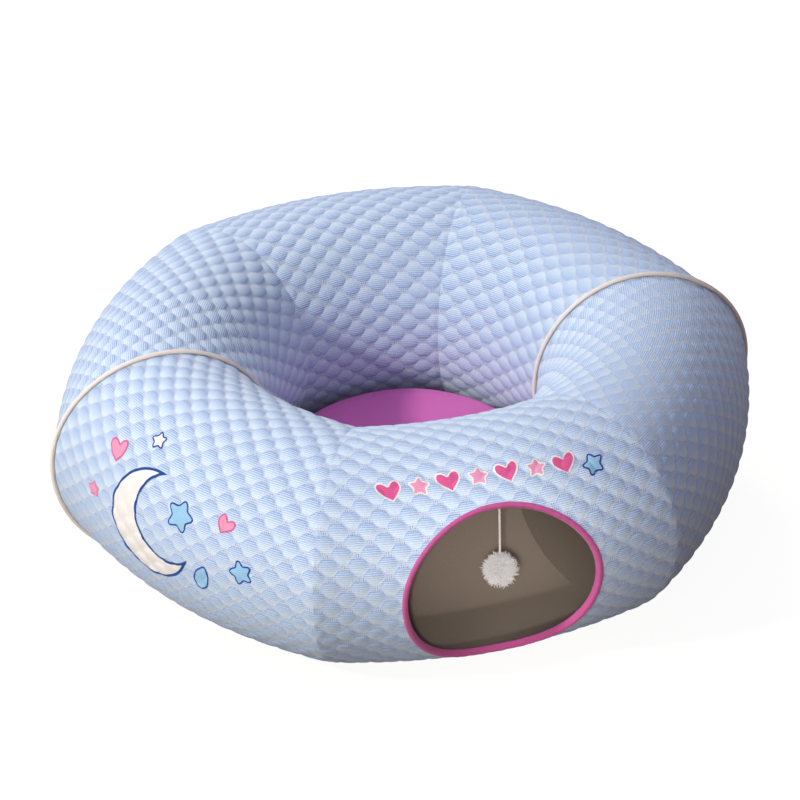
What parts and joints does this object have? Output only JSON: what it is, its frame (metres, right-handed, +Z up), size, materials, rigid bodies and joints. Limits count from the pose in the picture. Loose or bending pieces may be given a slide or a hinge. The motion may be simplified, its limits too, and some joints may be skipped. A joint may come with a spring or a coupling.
{
  "type": "pet tunnel",
  "caption": "Ring-shaped fabric pet tunnel with a bound round entrance, a hanging pompom toy and a round lift-out mat in its centre hole.",
  "frame": {"origin": "centre of the ring, on the floor it stands on", "axes": "+Z up, the entrance faces -Y, and the two piped seams lie on the X axis"},
  "size_m": [0.6056, 0.5609, 0.1908],
  "materials": {
    "knit": "quilted light-blue bubble knit",
    "foam": "open-cell foam sheet",
    "lining": "smooth taupe lining",
    "piping": "cream fabric piping",
    "binding": "magenta woven tape",
    "string": "cream cord",
    "fluff": "off-white long pile",
    "mat": "smooth magenta short pile",
    "mat_base": "dotted non-slip cloth",
    "steel": "spring wire"
  },
  "bodies": {
    "ring": {"cover_1": "knit", "cover_2": "knit", "cover_3": "knit", "cover_4": "knit", "cover_5": "knit", "cover_6": "knit", "foam_1": "foam", "foam_2": "foam", "foam_3": "foam", "foam_4": "foam", "foam_5": "foam", "foam_6": "foam", "lining_1": "lining", "lining_2": "lining", "lining_3": "lining", "lining_4": "lining", "lining_5": "lining", "lining_6": "lining", "piping_right": "piping", "piping_left": "piping", "hoop_right": "steel", "hoop_left": "steel", "hoop_sleeve_right": "lining", "hoop_sleeve_left": "lining", "entrance_binding": "binding", "toy_tab": "binding"},
    "knot": {"toy_knot": "string"},
    "toy": {"toy_string": "string", "pompom": "fluff"},
    "mat": {"mat_cover": "mat", "mat_core": "foam", "mat_base": "mat_base"}
  },
  "joints": [
    {"name": "toy_swing_in_out", "type": "hinge", "parent": "ring", "child": "knot", "pos_m": [0.00581, -0.24902, 0.15408], "axis": [1, 0, 0], "range_deg": [-50, 80]},
    {"name": "toy_swing_sideways", "type": "hinge", "parent": "knot", "child": "toy", "pos_m": [0.00581, -0.24902, 0.15408], "axis": [0, 1, 0], "range_deg": [-45, 45]},
    {"name": "mat_lift", "type": "slide", "parent": "ring", "child": "mat", "axis": [0, 0, 1], "range_m": [0, 0.25]}
  ]
}
